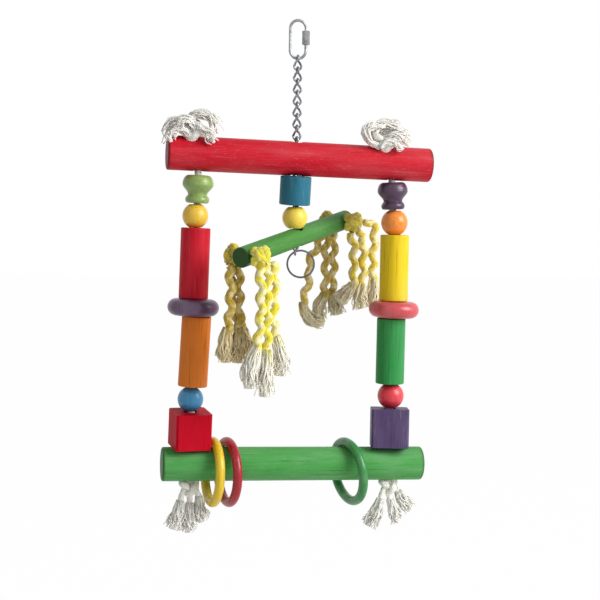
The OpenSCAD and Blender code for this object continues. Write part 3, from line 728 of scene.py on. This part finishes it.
def yarn_materials(yarn):
    """The cotton of the ropes and, for each place on the cross perch, its yarn, frayed end and knot."""
    cotton, dye = tuple(yarn.cotton), tuple(yarn.yellow)
    # Each look's second colour is the dark end of its fibre ramp: partly fibre tone, partly painted shade
    # between fibres.
    looks = {
        "rope": spun_cotton("twisted cotton rope", cotton, toned(cotton, 0.66)),
        "fray": spun_cotton("frayed cotton", cotton, toned(cotton, 0.86), loose=True),
    }
    # The four places share one yarn. near_back and the far strands get duller, deeper copies of its tones,
    # partly patchy dye and partly painted shade, deepest on near_back, which hangs in shadow.
    for place, light, dyed, shade, end in (
        ("near_front", linear("F3EDC6"), dye, tuple(yarn.shade), linear("FBF5E4")),
        ("near_back", linear("EEDDA6"), linear("C6A83C"), linear("8E7628"), linear("EFD9A8")),
        ("far_back", linear("F4EAC0"), linear("D2B648"), linear("967E30"), linear("F2E6C0")),
        ("far_front", linear("F6EDC2"), linear("E4CF4A"), linear("A8903A"), linear("F4E8C4")),
    ):
        looks[place] = spun_cotton(f"{place} crimped yarn", light, toned(light, 0.6), dyed, shade)
        looks[place + "_fray"] = spun_cotton(
            f"{place} frayed yarn", end, toned(end, 0.84), dyed, shade, frayed=[(0.0, WHITE), (0.4, BLACK)],
            loose=True,
        )
        looks[place + "_knot"] = spun_cotton(
            f"{place} dyed knot", mixed_tint(light, dyed, 0.6), toned(dyed, 0.6), mixed_tint(dyed, dye, 0.6),
            shade,
        )
    return looks


class SWING_OT_ropes(bpy.types.Operator):
    """Makes the two cotton ropes with their knots and frayed ends, and the tails under the perch"""

    bl_idname = "swing.ropes"
    bl_label = "Ropes, knots and tails"

    def execute(self, context):
        yarn = context.scene.swing_yarn
        looks = yarn_materials(yarn)
        thread = yarn.thread_radius
        for side, route in ROUTES.items():
            middle, foot = TOP_KNOTS[side], FOOT_KNOTS[side]
            rope = Spun()
            top, bottom = (HOLES[side], 0, middle[2] - 2), (foot[0], 0, foot[2] + 1)
            line = smooth_line([top, *route, bottom], CORD_STEP)
            rope.tube(line, yarn.rope_radius, ROPE_SIDES, plies=PLIES, groove=0.22, lay=ROPE_LAY)
            rope.knot(0.0031, ROPE_LAY, middle, (1, 0.2, 0), (0.1, -0.5, 1), 17, 7)
            under = (middle[0] + 1, 1, middle[2] - 2.5)
            rope.knot(0.0029, ROPE_LAY, under, (0.3, 1, 0), (0.5, -0.9, 0.6), 14, 7)
            rope.knot(0.0027, 0.012, foot, (1, 0.1, 0), (0, -0.8, 0.6), 11.5, 5.5)
            for i, end in enumerate(LOOSE_ENDS[side]):
                way = smooth_line(end, END_STEP)
                rope.tube(
                    way, lambda s: END_RADIUS * (1 - 0.55 * s), FRAY_SIDES, plies=4, groove=0.3,
                    lay=YARN_LAY, kind=1, unit=True,
                )
                rope.threads(
                    way, END_THREADS, END_SPREAD, thread, 17 * i + len(side), kind=1, curl=END_CURL
                )
            obj = rope.piece(f"{side}_cotton_rope", [looks["rope"], looks["fray"]])
            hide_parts(f"{side}_rope")
            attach(obj, "swing")
            for i, route_mm in enumerate(TAILS[side], 1):
                line = smooth_line([(foot[0], foot[1], foot[2] + 6)] + route_mm, CORD_STEP)
                length = run_length(line)
                cord = Spun()
                cord.tube(
                    line, lambda s: TAIL_RADIUS * min(1.0, 2.2 - 1.8 * s), CORD_SIDES, plies=PLIES,
                    groove=0.2, lay=ROPE_LAY,
                )
                loose = line[int(len(line) * TAIL_FRAY_FROM):]
                spread = MIDDLE_TAIL_SPREAD if i == 2 else TAIL_SPREAD
                fray = frayed_end(loose, TAIL_CORE, TAIL_THREADS, spread, thread, 31 * i + len(side))
                tail = cord.piece(f"{side}_tail_rope_{i}", [looks["rope"]])
                end = fray.piece(f"{side}_tail_fray_{i}", [looks["fray"]])
                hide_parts(f"{side}_tail_{i}")
                for obj in (tail, end):
                    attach(obj, "swing")
                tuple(line[0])
        return {"FINISHED"}


def cross_axis():
    """The cross perch's direction, from its near end to its far end, and the level direction across it."""
    turn, climb = math.radians(CROSS_TURN), math.radians(CROSS_CLIMB)
    axis = Vector((math.cos(turn) * math.cos(climb), math.sin(turn) * math.cos(climb), math.sin(climb)))
    return axis, Vector((math.sin(turn), -math.cos(turn), 0))


def on_cross_perch(along, out, up=0.0):
    """A point beside the cross perch, in millimetres: along it, out from its axis, and up."""
    low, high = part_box("cross_perch")
    axis, across = cross_axis()
    return (low + high) / 2 / MM + axis * (along + CROSS_MIDDLE) + across * out + Vector((0, 0, up))


class SWING_OT_yarn(bpy.types.Operator):
    """Makes the crimped yarn on the cross perch: its knots, its hanging strands and their frayed ends"""

    bl_idname = "swing.yarn"
    bl_label = "Crimped yarn"

    def execute(self, context):
        yarn = context.scene.swing_yarn
        looks = yarn_materials(yarn)
        axis, across = cross_axis()
        for end, along in (("near", CROSS_NEAR_HOLE), ("far", CROSS_FAR_HOLE)):
            bundle = Spun()
            through = [on_cross_perch(along, out) * MM for out in (-10, -4, 4, 10)]
            bundle.tube(through, CORE_RADIUS, CORE_SIDES, plies=PLIES, groove=0.2)
            for kind, out in ((0, 11.6), (1, -11.6)):
                middle = on_cross_perch(along, out, 0.4)
                facing = across * (1 if out > 0 else -1)
                low = middle + Vector((0, 0, -1.5))
                bundle.knot(0.0034, KNOB_LAY, middle, axis, facing, 9.8, 6.2, kind=kind)
                bundle.knot(
                    0.0032, KNOB_LAY, low, facing, Vector((0.2, 0.1, 1)), 8.8, 8, kind=kind, start=0.7
                )
            obj = bundle.piece(f"{end}_yarn_knots", [looks[f"{end}_front_knot"], looks[f"{end}_back_knot"]])
            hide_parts(f"{end}_rope")
            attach(obj, "perch_cross")
        for n, place in enumerate(PLACES):
            for i, route in enumerate(STRANDS[place], 1):
                line = smooth_line(route, YARN_STEP)
                length = run_length(line)
                share = YARN_FRAY_FROM[place.split("_")[0]]
                strand = Spun()
                wave = wavy(line, yarn.crimp_length, yarn.crimp_reach, math.pi * i + n, YARN_FACES)
                strand.tube(
                    wave, lambda s, c=share, r=yarn.yarn_radius: r * min(1.0, 1 - 0.6 * (s - c) / (1 - c)),
                    CORD_SIDES, plies=PLIES, groove=0.16, lay=YARN_LAY,
                )
                loose = line[int(len(line) * (share - FRAY_OVERLAP)):]
                fray = frayed_end(
                    loose, YARN_CORE, YARN_THREADS, YARN_SPREAD, yarn.thread_radius, 7 * i + 3 * n
                )
                obj = strand.piece(f"{place}_crimped_yarn_{i}", [looks[place]])
                end = fray.piece(f"{place}_yarn_fray_{i}", [looks[f"{place}_fray"]])
                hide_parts(f"{place}_strand_{i}")
                for part in (obj, end):
                    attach(part, "perch_cross")
                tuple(line[0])
        return {"FINISHED"}


class SWING_OT_stage(bpy.types.Operator):
    """Sets the camera, the pale floor and the soft lights"""

    bl_idname = "swing.stage"
    bl_label = "Camera, floor and lights"

    def execute(self, context):
        studio = context.scene.swing_studio
        scene = context.scene
        turn, tilt, roll = (math.radians(a) for a in (CAMERA_TURN, CAMERA_TILT, CAMERA_ROLL))
        forward = Vector((math.sin(turn) * math.cos(tilt), math.cos(turn) * math.cos(tilt), -math.sin(tilt)))
        level = Vector((math.cos(turn), -math.sin(turn), 0))
        above = level.cross(forward)
        right = math.cos(roll) * level + math.sin(roll) * above
        up = right.cross(forward)
        lens = bpy.data.cameras.new("photo_camera")
        lens.lens, lens.sensor_width = CAMERA_LENS, CAMERA_SENSOR
        camera = bpy.data.objects.new("photo_camera", lens)
        turned = Matrix((right, up, -forward)).transposed().to_4x4()
        camera.matrix_world = Matrix.Translation(CAMERA_AT) @ turned
        scene.collection.objects.link(camera)
        scene.camera = camera

        deselect()
        bpy.ops.mesh.primitive_plane_add(size=FLOOR_WIDTH, location=(*FLOOR_MIDDLE, -studio.floor_drop))
        floor = context.object
        floor.name = "pale_floor"
        settle(floor)
        material, tree, shader = new_material("matt white paper floor")
        set_inputs(shader, Base_Color=linear("F4F4F3"), Roughness=0.9)
        glow = add_node(tree, "ShaderNodeEmission", Strength=1.0)
        share = worked(tree, "MULTIPLY", seen(tree), FLOOR_WHITE)
        shown_instead(tree, share, shader, glow, "Material Output")
        floor.data.materials.append(material)

        for name, place, width, power in (
            ("key_softbox", (1.1, -0.8, 0.5), 0.9, studio.key),
            ("fill_softbox", (-1.1, -0.9, 0.1), 1.0, studio.fill),
        ):
            lamp = bpy.data.lights.new(name, "AREA")
            lamp.shape, lamp.size, lamp.energy = "SQUARE", width, power
            holder = bpy.data.objects.new(name, lamp)
            aim = Vector(LAMPS_AIM_AT) - Vector(place)
            aimed = aim.to_track_quat("-Z", "Y").to_matrix().to_4x4()
            holder.matrix_world = Matrix.Translation(place) @ aimed
            scene.collection.objects.link(holder)

        world = bpy.data.worlds.new("white_room")
        world.use_nodes = True
        scene.world = world
        tree = world.node_tree
        room = tree.nodes["Background"]
        set_inputs(room, Color=linear("FFFFFF"), Strength=studio.room)
        white = add_node(tree, "ShaderNodeBackground", Strength=1.0)
        white.inputs["Color"].default_value = linear("FFFFFF")
        shown_instead(tree, seen(tree), room, white, "World Output")
        scene.view_settings.view_transform = "Standard"
        return {"FINISHED"}


STEPS = (
    SWING_OT_stage, SWING_OT_ropes, SWING_OT_yarn, SWING_OT_metal, SWING_OT_bars, SWING_OT_beads,
    SWING_OT_rings, SWING_OT_blocks,
)


class SWING_PT_panel(bpy.types.Panel):
    """Lists the sizes, the colours and the steps of the bird swing"""

    bl_idname = "SWING_PT_panel"
    bl_label = "Bird swing"
    bl_space_type = "VIEW_3D"
    bl_region_type = "UI"
    bl_category = "Bird swing"

    def draw(self, context):
        layout = self.layout
        for group in (context.scene.swing_dyes, context.scene.swing_yarn, context.scene.swing_studio):
            box = layout.box()
            for key in group.__annotations__:
                box.prop(group, key)
        for step in STEPS:
            layout.operator(step.bl_idname)


CLASSES = (SwingDyes, SwingYarn, SwingStudio, *STEPS, SWING_PT_panel)


def register():
    for cls in CLASSES:
        bpy.utils.register_class(cls)
    bpy.types.Scene.swing_dyes = bpy.props.PointerProperty(type=SwingDyes)
    bpy.types.Scene.swing_yarn = bpy.props.PointerProperty(type=SwingYarn)
    bpy.types.Scene.swing_studio = bpy.props.PointerProperty(type=SwingStudio)


def unregister():
    del bpy.types.Scene.swing_dyes
    del bpy.types.Scene.swing_yarn
    del bpy.types.Scene.swing_studio
    for cls in reversed(CLASSES):
        bpy.utils.unregister_class(cls)


def main():
    register()
    bpy.ops.swing.stage()
    bpy.ops.swing.ropes()
    bpy.ops.swing.yarn()
    bpy.ops.swing.metal()
    bpy.ops.swing.bars()
    bpy.ops.swing.beads()
    bpy.ops.swing.rings()
    bpy.ops.swing.blocks()


if __name__ == "__main__":
    main()
